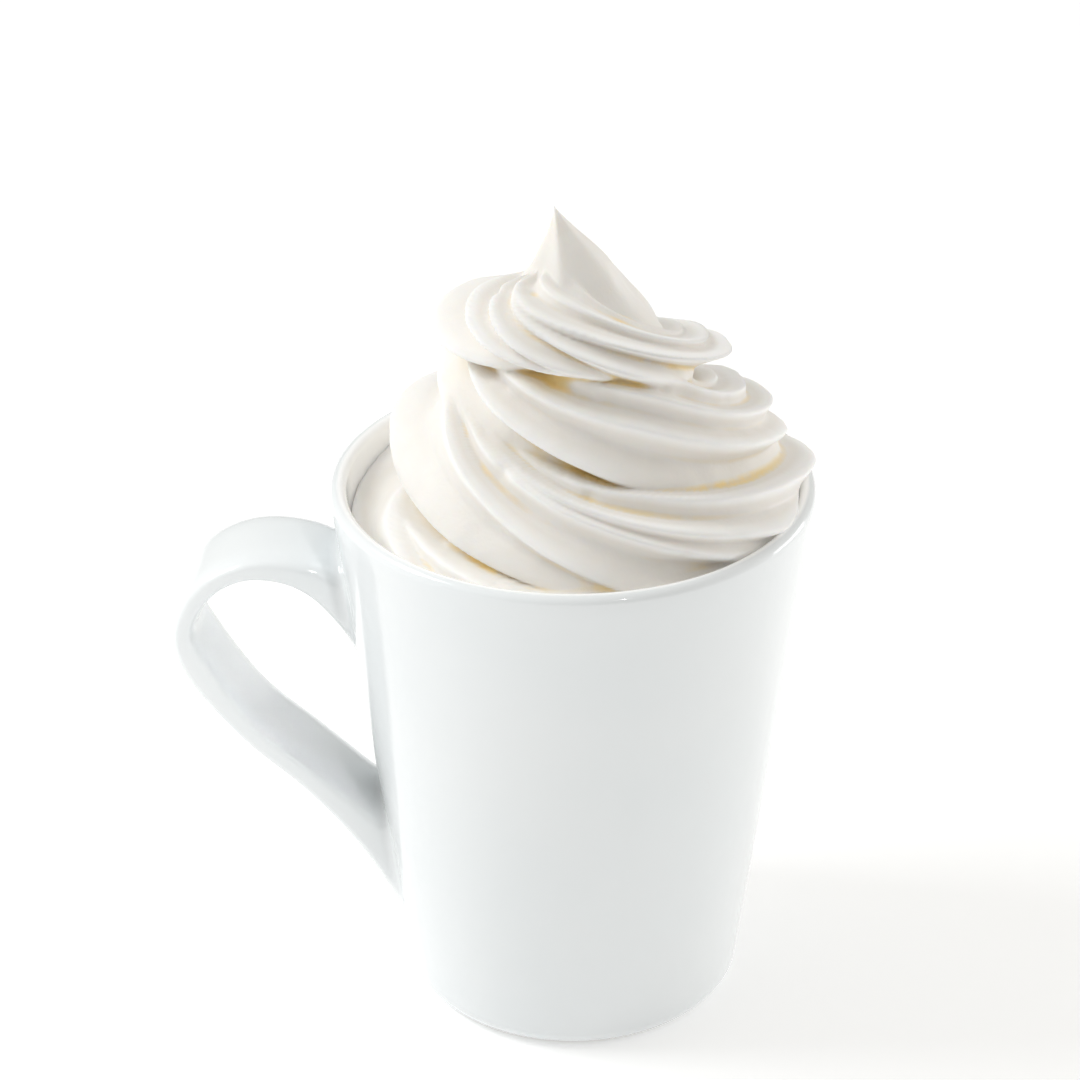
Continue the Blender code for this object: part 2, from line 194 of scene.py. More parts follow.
lip_height = MUG_HEIGHT - LIP_ROUND
corner_height = FLOOR + INNER_CORNER
lip_middle = (outer_radius(lip_height) - LIP_ROUND, lip_height)
foot_middle = (outer_radius(FOOT_ROUND) - FOOT_ROUND, FOOT_ROUND)
corner_middle = (inner_radius(corner_height) - INNER_CORNER, corner_height)
mug_profile = np.concatenate([
    flat_line(HUB, foot_middle[0] - CORNER_SPACE, 0.0),
    arc(foot_middle, FOOT_ROUND, -90, -3, CORNER_STEPS),
    wall_line(outer_radius, SIDE_FOOT, SIDE_TOP),
    arc(lip_middle, LIP_ROUND, -2, 182, LIP_STEPS),
    wall_line(inner_radius, SIDE_TOP, INNER_SIDE_FOOT),
    arc(corner_middle, INNER_CORNER, 0, -90, CORNER_STEPS),
    flat_line(corner_middle[0] - CORNER_SPACE, HUB, FLOOR)])
mug = ring_object("mug_body", spun(mug_profile, BODY_COLUMNS), (0, 0, 0), (0, 0, FLOOR))

# %% [markdown]
# ## The strap handle
# The handle is a flat strap of clay, wider than it is thick, that leaves the body below the lip,
# loops out and comes back as a long slope to the lower wall. Its section is a superellipse, a
# rectangle with generous corners, set between an outer and an inner edge curve. The ends bend to
# the round of the wall, and close to it the strap spreads along the wall by a small cove, as a
# potter smooths the joint with a finger. A union then makes one body of the two.

# %% Strap handle
HANDLE_WIDTH, HANDLE_SQUARENESS = 0.0195, 0.55
COVE, COVE_SWEEP = 0.0022, 0.97     # radius, and how much of the quarter circle is used
STRAP_STATIONS, STRAP_SIDES = 300, 56
STRAP_END = 0.12                    # share of the strap's length that bends to the wall
HANDLE_OUTER = (
    (0.0402, 0.0905), (0.0489, 0.0944), (0.0600, 0.0947), (0.0700, 0.0895), (0.0750, 0.0797),
    (0.0730, 0.0690), (0.0631, 0.0553), (0.0517, 0.0438), (0.0421, 0.0312), (0.0330, 0.0130))
HANDLE_INNER = (
    (0.0386, 0.0705), (0.0487, 0.0857), (0.0585, 0.0897), (0.0660, 0.0868), (0.0702, 0.0792),
    (0.0670, 0.0715), (0.0591, 0.0590), (0.0481, 0.0485), (0.0405, 0.0415), (0.0349, 0.0365))


def rounded(value, power):
    """The value's size raised to a power, with its sign kept: a circle becomes a superellipse."""
    return np.sign(value) * np.abs(value) ** power


def strap_rings():
    """Rings between the edge curves, bent round the mug's wall by y^2 / (2 x) near the ends."""
    share = np.linspace(0, 1, STRAP_STATIONS)
    outer, inner = on_curve(HANDLE_OUTER, share), on_curve(HANDLE_INNER, share)
    turn = np.linspace(0, 2 * math.pi, STRAP_SIDES, endpoint=False)
    across = rounded(np.cos(turn), HANDLE_SQUARENESS)
    through = (1 + rounded(np.sin(turn), HANDLE_SQUARENESS)) / 2
    edge = inner[:, None] + (outer - inner)[:, None] * through[None, :, None]
    side = np.broadcast_to(-across * HANDLE_WIDTH / 2, edge.shape[:2])
    at_end = np.clip(1 - np.minimum(share, 1 - share) / STRAP_END, 0, 1)[:, None]
    out = edge[..., 0] - at_end * side ** 2 / (2 * edge[..., 0])
    return np.stack([-out, side, edge[..., 1]], axis=-1)


def grid_normals(rings):
    """Cross product of the steps round and along the rings, at unit length."""
    round_step = np.roll(rings, -1, axis=1) - np.roll(rings, 1, axis=1)
    normal = np.cross(round_step, np.gradient(rings, axis=0))
    return normal / np.linalg.norm(normal, axis=-1, keepdims=True)


def with_cove(rings):
    """Spread the strap along the mug's wall by a quarter-circle cove where it is close to it."""
    radius = np.hypot(rings[..., 0], rings[..., 1])
    near = np.clip(1 - (radius - outer_radius(rings[..., 2])) / COVE, 0, 1)
    push = COVE * (1 - np.sqrt(1 - COVE_SWEEP * near ** 2))
    normal = grid_normals(rings)
    away = np.stack([rings[..., 0] / radius, rings[..., 1] / radius, 0 * radius], axis=-1)
    along_wall = normal - away * np.sum(normal * away, axis=-1, keepdims=True)
    return rings + along_wall * push[..., None]


strap_points = with_cove(strap_rings())
strap = ring_object("strap", strap_points, strap_points[0].mean(axis=0), strap_points[-1].mean(axis=0))


def join_solids(body, other):
    """Union of two closed objects, kept as the body's mesh; the other object is removed."""
    union = body.modifiers.new("union", "BOOLEAN")
    union.operation = "UNION"
    union.solver = "EXACT"
    union.object = other
    bpy.context.view_layer.update()
    joined = bpy.data.meshes.new_from_object(body.evaluated_get(bpy.context.evaluated_depsgraph_get()))
    body.modifiers.clear()
    body.data = joined
    bpy.data.objects.remove(other)
    joined.shade_smooth()
    print(body.name, "joined:", len(joined.polygons), "faces,", round(enclosed_volume(joined) * 1e6, 1), "ml")


join_solids(mug, strap)
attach(mug, "root")
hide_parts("mug")

# %% [markdown]
# ## The rope of cream
# The swirl is one thick rope of whipped cream, squeezed from a star nozzle and laid in a spiral
# that the hand winds from the wall of the mug up to a pulled-off tip. Read from the tip down, the
# rope circles outward and sinks. Its middle line and its size are given at each quarter turn:
# angle 0 is the front, and it grows toward the right. In between, a smooth curve joins the values.

# %% The rope's path and thickness
TURN, QUARTER = 2 * math.pi, math.pi / 2
ROPE_START = -TURN
ROPE_RADII = (
    0.0020, 0.0030, 0.0045, 0.0074, 0.0088, 0.0119, 0.0085, 0.0080, 0.0120,
    0.0263, 0.0218, 0.0210, 0.0256, 0.0334, 0.0312, 0.0335, 0.0335, 0.0325,
    0.0315)
ROPE_HEIGHTS = (
    0.1380, 0.1360, 0.1340, 0.1399, 0.1432, 0.1325, 0.1250, 0.1295, 0.1262,
    0.1159, 0.1060, 0.1176, 0.1095, 0.1046, 0.0970, 0.0945, 0.0930, 0.0910,
    0.0880)
ROPE_HALF_WIDTHS = (
    0.0170, 0.0172, 0.0176, 0.0180, 0.0183, 0.0178, 0.0172, 0.0167, 0.0160,
    0.0130, 0.0128, 0.0127, 0.0127, 0.0126, 0.0124, 0.0124, 0.0124, 0.0124,
    0.0124)
ROPE_HALF_HEIGHTS = (
    0.0070, 0.0072, 0.0076, 0.0086, 0.0067, 0.0055, 0.0085, 0.0101, 0.0115,
    0.0121, 0.0113, 0.0115, 0.0117, 0.0118, 0.0120, 0.0120, 0.0120, 0.0120,
    0.0120)


def along_rope(values, angle):
    """Value at an angle of the rope: Catmull-Rom curve through the values at quarter turns."""
    return on_curve(values, (angle - ROPE_START) / QUARTER / (len(values) - 1))


print("rope winds", (len(ROPE_RADII) - 1) / 4, "turns")

# %% [markdown]
# ## Ridges from the star nozzle
# The nozzle's teeth cut the rope into sharp ridges with round hollows between them. Each ridge
# keeps its own place on the rope's section, but because the nozzle isn't turned while the rope
# goes round, every ridge slowly sinks along the rope, and that is what makes the swirl look wound.
# So a ridge is three numbers: its angle above level at the front, in degrees, how fast it sinks,
# and how much it bends away from an even sinking.

# %% Ridges
RIDGES = (      # one set for each lap from the top down; the lowest lap keeps the last set
    ((-85, 0.90, 0.00), (-40, 1.30, 0.00), (-23, 1.48, 0.05), (14, 1.19, 0.05), (39, 0.53, 0.40),
     (67, 0.45, 0.27), (97, 0.48, 0.18), (130, 0.60, 0.05), (168, 0.84, 0.00)),
    ((-100, 0.90, 0.00), (-61, 0.64, 0.00), (-10, 0.74, 0.10), (36, 0.34, 0.00), (63, 0.58, 0.47),
     (80, 0.62, 0.75), (116, 0.55, 0.45), (146, 0.50, 0.25), (176, 0.50, 0.10)),
    ((-97, 1.00, 0.00), (-34, 0.10, 0.00), (-3, 1.35, -0.24), (46, 0.94, -0.43), (56, 0.84, 0.06),
     (83, 0.57, -0.05), (125, 0.55, 0.00), (165, 0.60, 0.00)))
RIDGE_STEP = math.radians(50)       # the gap at which a hollow has the plain depth
RIDGE_DEPTH, RIDGE_SOFT, RIDGE_DROOP = 0.31, 0.04, 1.55
GAP_POWER, MOST_DEPTH = 0.6, 1.15
NO_RIDGE, WIDEST_GAP = 9.0, 2.0     # radians


def hollow_between(share):
    """sqrt(sin(pi share^droop)^2 + soft^2) scaled to 0..1: deepest close under the upper ridge."""
    wave = np.sqrt(np.sin(math.pi * share ** RIDGE_DROOP) ** 2 + RIDGE_SOFT ** 2)
    return (wave - RIDGE_SOFT) / (math.sqrt(1 + RIDGE_SOFT ** 2) - RIDGE_SOFT)


def fluting(bearing, turned, ridges):
    """Factor on the rope's section: 1 on a ridge, less by a share of the gap's width between two."""
    below = np.full(np.broadcast(bearing, turned).shape, -NO_RIDGE)
    above = -below
    for start, sink, bend in ridges:
        for lap in (-TURN, 0, TURN):
            ridge = math.radians(start) - sink * turned + bend * (1 - np.cos(turned)) + lap
            below = np.where((ridge <= bearing) & (ridge > below), ridge, below)
            above = np.where((ridge > bearing) & (ridge < above), ridge, above)
    gap = np.minimum(above - below, WIDEST_GAP)
    depth = RIDGE_DEPTH * np.minimum((gap / RIDGE_STEP) ** GAP_POWER, MOST_DEPTH)
    return 1 - depth * hollow_between(np.clip((bearing - below) / gap, 0, 1))


SHOULDER_RISE, SHOULDER_AT, SHOULDER_SPAN = 0.0054, TURN + 0.60, 0.48
LAPS = 4
FADE_FROM, FADE_SPAN = 0.7 * math.pi, 0.3 * math.pi


def shoulder(angle, bearing):
    """Rise * exp(-((angle - place) / span)^2) * sin(bearing)^2: the rope swells up against a lap."""
    swell = np.exp(-((angle - SHOULDER_AT) / SHOULDER_SPAN) ** 2)
    return SHOULDER_RISE * swell * np.clip(np.sin(bearing), 0, 1) ** 2


def rope_section(turned, bearing, lap):
    """Radius and height of the fluted ellipse of one lap, faded at the back into the lap before."""
    angle = turned + TURN * lap
    last = len(RIDGES) - 1
    here = fluting(bearing, turned, RIDGES[min(lap, last)])
    before = fluting(bearing, turned + TURN, RIDGES[min(max(lap - 1, 0), last)])
    fade = np.clip((-turned - FADE_FROM) / FADE_SPAN, 0, 1)
    flutes = here + (before - here) * fade
    radius = along_rope(ROPE_RADII, angle) + along_rope(ROPE_HALF_WIDTHS, angle) * flutes * np.cos(bearing)
    height = along_rope(ROPE_HEIGHTS, angle) + along_rope(ROPE_HALF_HEIGHTS, angle) * flutes * np.sin(bearing)
    return radius, height + shoulder(angle, bearing)


# %% [markdown]
# ## The tip and the middle
# When the nozzle is pulled away the last of the rope draws up into a peak: a ridged cone whose
# sides bend inward and whose top leans to one side. Behind the laps the swirl is solid, so a
# plain cone fills its middle, on a low disc of cream that floats on the drink from wall to wall,
# a little higher toward the right.

# %% Tip and middle
PEAK_TOP, PEAK_FOOT, PEAK_FOOT_RADIUS, PEAK_POWER = 0.1615, 0.1380, 0.0179, 1.218
PEAK_LEAN, PEAK_LEAN_FROM, PEAK_LEAN_POWER = -0.0033, 0.1500, 1.2
PEAK_RIDGES, PEAK_RIDGE_DEPTH, PEAK_RIDGE_SOFT = 5, 0.20, 0.40
PEAK_RIDGE_AT, PEAK_TWIST = math.radians(-15), -14.0
MIDDLE_HEIGHTS = (0.088, 0.1034, 0.1046, 0.125, 0.143)
MIDDLE_RADII = (0.043, 0.0425, 0.0300, 0.016, 0.004)
MIDDLE_TILT = 0.06


def peak_section(turned, rise):
    """Radius foot * (distance below the tip / height) ^ power, less soft ridges that twist upwards."""
    height = PEAK_FOOT + (PEAK_TOP - PEAK_FOOT) * rise
    radius = PEAK_FOOT_RADIUS * ((PEAK_TOP - height) / (PEAK_TOP - PEAK_FOOT)) ** PEAK_POWER
    phase = PEAK_RIDGES * (turned - PEAK_RIDGE_AT - PEAK_TWIST * (height - PEAK_LEAN_FROM)) / TURN
    wave = np.sqrt(np.sin(math.pi * phase) ** 2 + PEAK_RIDGE_SOFT ** 2) - PEAK_RIDGE_SOFT
    return radius * (1 - PEAK_RIDGE_DEPTH * wave), height + 0 * turned


def middle_section(turned, rise):
    """A cone on a low disc out to the wall: radii at given heights, plus tilt * radius * sin(angle)."""
    height = MIDDLE_HEIGHTS[0] + (MIDDLE_HEIGHTS[-1] - MIDDLE_HEIGHTS[0]) * rise
    radius = np.interp(height, MIDDLE_HEIGHTS, MIDDLE_RADII) + 0 * turned
    return radius, height + MIDDLE_TILT * radius * np.sin(turned)


# %% [markdown]
# ## One skin over everything
# The laps, the tip and the middle overlap, and only their outside shows. In a half plane at each
# angle, a fan of rays leaves the axis: first from lower and lower starts at one slight tilt, then
# turning up over the top. Each ray keeps its outermost crossing, so one closed skin comes out with
# no inner faces. The tilt lets the rays meet the upper sides of the laps squarely. Where two laps
# meet, a logarithm of exponentials melts the crease, and two blurs take off the jagged edges.

# %% The skin
GAP, DRINK_LEVEL, LIP_CLEARANCE = 0.0003, 0.0930, 0.0004
FAN_HEIGHT, FAN_REACH, ROW, TILT = 0.1400, 0.018, 0.0001, math.radians(15)
MELD, UNDERCUT = 0.0005, 5.6
BLUR, COLUMN_BLUR = 0.00022, 0.8    # along the rows in metres, round the swirl in columns
STEEPEST, FREE_REACH = 1.0, 1.0     # radians, metres
CREAM_COLUMNS, SECTION_SAMPLES = 520, 2200
CREAM_FOOT = DRINK_LEVEL + GAP
LOWEST_START = CREAM_FOOT - (inner_radius(CREAM_FOOT) - GAP) * math.tan(TILT)
TILTED_ROWS = round((FAN_HEIGHT - LOWEST_START) / ROW)
FAN_ROWS = round(FAN_REACH * (QUARTER - TILT) / ROW)


def outermost(radius, height):
    """Longest ray to a section in each row of each column; 0 where no ray meets it."""
    lean = np.maximum(np.arctan2(height - FAN_HEIGHT, np.maximum(radius, 0)), TILT)
    below = (height - radius * math.tan(TILT) - LOWEST_START) / ROW
    fan = lean > TILT
    row = np.where(fan, TILTED_ROWS + (lean - TILT) / (QUARTER - TILT) * FAN_ROWS, below)
    reach = np.where(fan, np.hypot(radius, height - FAN_HEIGHT), radius / math.cos(TILT))
    row = np.floor(row).astype(int)
    inside = (row >= 0) & (row < TILTED_ROWS + FAN_ROWS) & (radius > 0)
    column = np.broadcast_to(np.arange(len(row))[:, None], row.shape)
    skin = np.zeros((len(row), TILTED_ROWS + FAN_ROWS))
    np.maximum.at(skin, (column[inside], row[inside]), reach[inside])
    return skin


def blurred(values, width, axis):
    """Gaussian average over neighbours along one axis; round the swirl the neighbours wrap."""
    size = math.ceil(3 * width)
    weights = np.exp(-0.5 * (np.arange(-size, size + 1) / width) ** 2)
    pad = [(0, 0), (0, 0)]
    pad[axis] = (size, size)
    padded = np.pad(values, pad, mode="wrap" if axis == 0 else "edge")
    count = values.shape[axis]
    parts = [w * np.take(padded, np.arange(k, k + count), axis=axis) for k, w in enumerate(weights)]
    return sum(parts) / weights.sum()


def cream_skin(turned):
    """Melted maximum of all the sections, with undersides filled up to a steepest slope."""
    bearing = np.linspace(-math.pi, math.pi, SECTION_SAMPLES)[None, :]
    rise = np.linspace(0, 1, SECTION_SAMPLES)[None, :]
    skins = [outermost(*rope_section(turned, bearing, lap)) for lap in range(LAPS)]
    skins += [outermost(*peak_section(turned, rise)), outermost(*middle_section(turned, rise))]
    most = np.max(skins, axis=0)
    melted = most + MELD * np.log(sum(np.exp((skin - most) / MELD) for skin in skins))
    slope = UNDERCUT * ROW * np.arange(melted.shape[1])
    return np.maximum.accumulate((melted - slope)[:, ::-1], axis=1)[:, ::-1] + slope


def row_places():
    """Height where each row's ray leaves the axis, and the ray's lean up from level."""
    row = np.arange(TILTED_ROWS + FAN_ROWS) + 0.5
    height = LOWEST_START + (FAN_HEIGHT - LOWEST_START) * np.minimum(row / TILTED_ROWS, 1)
    return height, TILT + (QUARTER - TILT) * np.clip((row - TILTED_ROWS) / FAN_ROWS, 0, 1)


def room(start, lean):
    """How far a ray may reach: to the inner wall less the gap, or freely if it clears the lip."""
    rise = np.tan(np.minimum(lean, STEEPEST))
    wall_height = start + inner_radius(start) * rise
    wall_height = start + inner_radius(wall_height) * rise
    reach = (inner_radius(wall_height) - GAP) / np.cos(lean)
    return np.where(wall_height > MUG_HEIGHT + LIP_CLEARANCE, FREE_REACH, reach)


turned = np.linspace(-math.pi, math.pi, CREAM_COLUMNS, endpoint=False)[:, None]
start, lean = row_places()
skin = cream_skin(turned)
skin = blurred(blurred(skin, BLUR / ROW, 1), COLUMN_BLUR, 0)
print("skin of", skin.shape, "reaches", round(float(skin.max()) * 1000, 1), "mm")

# %% [markdown]
# ## Made by hand
# A hand never lays the rope quite evenly. The skin is moved in and out by a few tenths of a
# millimetre, by sine waves that run in many directions. Burst bubbles and folds leave small
# dents here and there, and where ridges come out from under the lap above they start in round
# noses. Last, the mug's wall holds the cream in below the lip.

# %% Unevenness and dents
WAVES = ((0.00020, 0.0170, 9, 4), (0.00005, 0.0050, 12, 7))     # depth, length, count and seed
DENTS = (       # place, depth and width of each dent
    ((-0.0045, -0.0192, 0.1352), 0.0014, 0.0018), ((0.0193, -0.0348, 0.1102), 0.0006, 0.0008),
    ((-0.0134, -0.0088, 0.1494), 0.0009, 0.0014), ((-0.0073, -0.0105, 0.1497), 0.0011, 0.0013),
    ((-0.0122, -0.0262, 0.1226), 0.0008, 0.0016), ((0.0028, -0.0293, 0.1188), 0.0005, 0.0012),
    ((0.0262, -0.0105, 0.1290), 0.0010, 0.0012), ((0.0330, -0.0150, 0.1130), 0.0008, 0.0012))
NOSES = (       # place, height and width of each bump where a ridge starts
    ((0.0010, -0.0196, 0.1357), 0.0013, 0.0019), ((0.0038, -0.0210, 0.1349), 0.0008, 0.0018),
    ((0.0136, -0.0197, 0.1360), 0.0012, 0.0019), ((0.0166, -0.0190, 0.1346), 0.0007, 0.0018),
    ((-0.0131, -0.0148, 0.1339), 0.0010, 0.0018), ((-0.0108, -0.0170, 0.1330), 0.0006, 0.0018))


def skin_points():
    """Where each ray meets the skin: its start on the axis plus its reach along its direction."""
    radius = skin * np.cos(lean)
    return np.stack([radius * np.sin(turned), -radius * np.cos(turned), start + skin * np.sin(lean)], axis=-1)


def waves(points, length, count, seed):
    """Mean of sine waves of one length in random directions, each with its own phase."""
    random = np.random.default_rng(seed)
    ways = random.normal(size=(count, 3))
    ways *= TURN / length / np.linalg.norm(ways, axis=1, keepdims=True)
    phases = random.uniform(0, TURN, count)
    return sum(np.sin(points @ way + phase) for way, phase in zip(ways, phases)) / math.sqrt(count)


def spots(points, listed):
    """Sum over the listed spots of size * exp(-(distance / width)^2)."""
    total = np.zeros(points.shape[:2])
    for place, size, width in listed:
        total += size * np.exp(-((points - place) ** 2).sum(axis=-1) / width ** 2)
    return total


on_skin = skin_points()
skin = skin + sum(depth * waves(on_skin, *kind) for depth, *kind in WAVES)
skin = skin + spots(on_skin, NOSES) - spots(on_skin, DENTS)
skin = np.minimum(skin, room(start, lean))
print("unevenness up to", round(float(np.abs(skin_points() - on_skin).max()) * 1000, 2), "mm")

# %% [markdown]
# ## The cream as an object
# The skin's rows are turned back into points, thinned to one row in a few, and the tip is leaned.
# How deep each point lies in a hollow is kept as an attribute, because the finish paints warm
# shade into the hollows and highlights onto the crests by it: it is the skin's smoothed distance
# less its own.

# %% Cream object
HOLLOW_SPAN, HOLLOW_COLUMNS = 0.0016, 4.0
HIDDEN_ROWS, TIP_ROWS = 130, 2      # rows deep in the mug, and rows left out at the tip
KEPT_HIDDEN, KEPT_SIDE, KEPT_FAN = 30, 112, 48
PAST_TIP = 1.1                      # the lean goes on a little above the tip


def lean_over(rings):
    """Shift toward -X by lean * (height above its start / rest of the peak) ^ power."""
    share = np.clip((rings[..., 2] - PEAK_LEAN_FROM) / (PEAK_TOP - PEAK_LEAN_FROM), 0, PAST_TIP)
    leaned = rings.copy()
    leaned[..., 0] += PEAK_LEAN * share ** PEAK_LEAN_POWER
    return leaned


def point_attribute(made, name, values):
    """Store one number per point; the two poles take the mean of the ring beside them."""
    flat = np.concatenate([values.ravel(), [values[0].mean()], [values[-1].mean()]])
    made.data.attributes.new(name, "FLOAT", "POINT").data.foreach_set("value", flat.astype(np.float32))


hollow = blurred(blurred(skin, HOLLOW_SPAN / ROW, 1), HOLLOW_COLUMNS, 0) - skin
kept = np.unique(np.round(np.concatenate([
    np.linspace(1, HIDDEN_ROWS, KEPT_HIDDEN),
    np.linspace(HIDDEN_ROWS, TILTED_ROWS, KEPT_SIDE),
    np.linspace(TILTED_ROWS, len(start) - 1 - TIP_ROWS, KEPT_FAN)]))).astype(int)
reach = skin[:, kept].T
ring_lean, ring_start, ring_turned = lean[kept, None], start[kept, None], turned.T
ring_radius = reach * np.cos(ring_lean)
cream_rings = lean_over(np.stack([
    ring_radius * np.sin(ring_turned), -ring_radius * np.cos(ring_turned),
    ring_start + reach * np.sin(ring_lean)], axis=-1))
cream = ring_object("cream_swirl", cream_rings, (0, 0, CREAM_FOOT), (PEAK_LEAN, 0, PEAK_TOP))
point_attribute(cream, "hollow", hollow[:, kept].T * 1000)
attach(cream, "root")
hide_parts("cream")

# %% [markdown]
# ## Shader groups
# Glaze, cream and coffee all vary a little over their surface. One group makes such a mottle:
# layered noise on Object coordinates, stretched to a mask from 0 to 1. A second group adds up a
# coarse and a fine noise as a height in metres for a Bump node. Both are built once and placed
# in each material with their own numbers. Colours are (red, green, blue) in linear light.

# %% Shader groups
def new_group(name, inputs, outputs):
    """Empty shader group with float inputs {name: default} and named outputs."""
    group = bpy.data.node_groups.new(name, "ShaderNodeTree")
    for label, value in inputs.items():
        socket = group.interface.new_socket(label, in_out="INPUT", socket_type="NodeSocketFloat")
        socket.default_value = value
    for label in outputs:
        group.interface.new_socket(label, in_out="OUTPUT", socket_type="NodeSocketFloat")
    return group, group.nodes.new("NodeGroupInput"), group.nodes.new("NodeGroupOutput")


def math_node(tree, operation, *values):
    """Math node whose inputs are sockets to link or plain numbers."""
    node = tree.nodes.new("ShaderNodeMath")
    node.operation = operation
    for socket, value in zip(node.inputs, values):
        if isinstance(value, (int, float)):
            socket.default_value = value
        else:
            tree.links.new(value, socket)
    return node.outputs[0]


def noise_node(tree, scale, detail, roughness=0.5):
    """Noise on Object coordinates; scale is a socket that gives the features per metre."""
    place = tree.nodes.new("ShaderNodeTexCoord")
    noise = tree.nodes.new("ShaderNodeTexNoise")
    noise.inputs["Detail"].default_value = detail
    noise.inputs["Roughness"].default_value = roughness
    tree.links.new(place.outputs["Object"], noise.inputs["Vector"])
    tree.links.new(scale, noise.inputs["Scale"])
    return noise.outputs["Fac"]


def make_mottle():
    """Mask = clamp((noise - low) / (high - low))."""
    group, given, out = new_group("mottle", {"Scale": 60.0, "Low": 0.35, "High": 0.65}, ["Mask"])
    stretch = group.nodes.new("ShaderNodeMapRange")
    group.links.new(noise_node(group, given.outputs["Scale"], detail=5.0), stretch.inputs["Value"])
    group.links.new(given.outputs["Low"], stretch.inputs["From Min"])
    group.links.new(given.outputs["High"], stretch.inputs["From Max"])
    group.links.new(stretch.outputs["Result"], out.inputs["Mask"])
    return group


def make_unevenness():
    """Height = coarse noise * coarse depth + fine noise * fine depth."""
    group, given, out = new_group("unevenness", {
        "Coarse Scale": 80.0, "Coarse Depth": 0.0001,
        "Fine Scale": 900.0, "Fine Depth": 0.00002}, ["Height"])
    coarse = noise_node(group, given.outputs["Coarse Scale"], detail=3.0)
    coarse = math_node(group, "MULTIPLY", coarse, given.outputs["Coarse Depth"])
    fine = noise_node(group, given.outputs["Fine Scale"], detail=4.0, roughness=0.6)
    fine = math_node(group, "MULTIPLY", fine, given.outputs["Fine Depth"])
    group.links.new(math_node(group, "ADD", coarse, fine), out.inputs["Height"])
    return group


MOTTLE, UNEVENNESS = make_mottle(), make_unevenness()
print("groups:", MOTTLE.name, "and", UNEVENNESS.name)


def placed(tree, group, **values):
    """The group as a node with its own numbers; _ in a keyword stands for a space."""
    node = tree.nodes.new("ShaderNodeGroup")
    node.node_tree = group
    for label, value in values.items():
        node.inputs[label.replace("_", " ")].default_value = value
    return node.outputs[0]


def new_finish(name, **values):
    """Material whose Principled sockets get constant values; _ in a keyword stands for a space."""
    made = bpy.data.materials.new(name)
    made.use_nodes = True
    shader = made.node_tree.nodes["Principled BSDF"]
    for label, value in values.items():
        shader.inputs[label.replace("_", " ")].default_value = value
    return made, made.node_tree, shader


def mixed(tree, mask, first, second):
    """Colour that goes from first to second as the mask goes from 0 to 1."""
    node = tree.nodes.new("ShaderNodeMix")
    node.data_type = "RGBA"
    for socket, value in ((node.inputs["A"], first), (node.inputs["B"], second)):
        if isinstance(value, tuple):
            socket.default_value = (*value, 1.0)
        else:
            tree.links.new(value, socket)
    tree.links.new(mask, node.inputs["Factor"])
    return node.outputs["Result"]


def spread(tree, value, low, high, to_low=0.0, to_high=1.0):
    """Straight-line map of a value from low..high to new limits, held at the ends."""
    node = tree.nodes.new("ShaderNodeMapRange")
    for label, number in (("From Min", low), ("From Max", high), ("To Min", to_low), ("To Max", to_high)):
        node.inputs[label].default_value = number
    tree.links.new(value, node.inputs["Value"])
    return node.outputs["Result"]


def bump(tree, shader, height):
    """Bump node from a height in metres, at its full size, to the shader's normal."""
    node = tree.nodes.new("ShaderNodeBump")
    node.inputs["Distance"].default_value = 1.0
    node.inputs["Strength"].default_value = 1.0
    tree.links.new(height, node.inputs["Height"])
    tree.links.new(node.outputs["Normal"], shader.inputs["Normal"])


# %% [markdown]
# ## White glaze
# The mug is white stoneware under a clear glossy glaze. The glaze pools and thins a little, so
# the white wavers between cooler and warmer, the gloss wavers with it, and the surface has the
# faint orange peel of fired glass. The ring that stands on the kiln shelf is left bare: matt and
# slightly sandy, it shows only from below. Light bounces about many times between the wall and
# the cream, more often than a render follows it, so painted light stands in for it inside: the
# lining has a paler colour than the outside, and a faint glow.

# %% Glaze
GLAZE_COOL, GLAZE_WARM = (0.818, 0.850, 0.865), (0.842, 0.866, 0.877)
# The lining's paler colour and the glow are painted bounce light; the glaze inside is the same as outside.
LINING_PAINTED_LIGHT, BARE_CLAY = (0.930, 0.935, 0.935), (0.62, 0.58, 0.52)
NO_GLOW, PAINTED_GLOW, PAINTED_GLOW_STRENGTH = (0.0, 0.0, 0.0), (1.0, 1.0, 0.98), 0.10
BARE_BELOW, BARE_OUTSIDE = (0.0002, 0.0005), (0.0215, 0.0222)       # height, radius
LINED_ABOVE, LINED_WITHIN = (0.0035, 0.0045), (0.0300, 0.0306)      # height, radius at the foot
GLAZE_COAT, GLAZE_ROUGHNESS, BARE_ROUGHNESS = 0.5, (0.10, 0.17), 0.8
MUG_FLARE = (RIM_RADIUS - BASE_RADIUS) / MUG_HEIGHT


def object_height(tree):
    """Height above the table and distance from the axis, read from Object coordinates."""
    place = tree.nodes.new("ShaderNodeTexCoord")
    split = tree.nodes.new("ShaderNodeSeparateXYZ")
    tree.links.new(place.outputs["Object"], split.inputs["Vector"])
    x, y, z = split.outputs
    squares = [math_node(tree, "MULTIPLY", side, side) for side in (x, y)]
    return z, math_node(tree, "SQRT", math_node(tree, "ADD", *squares))


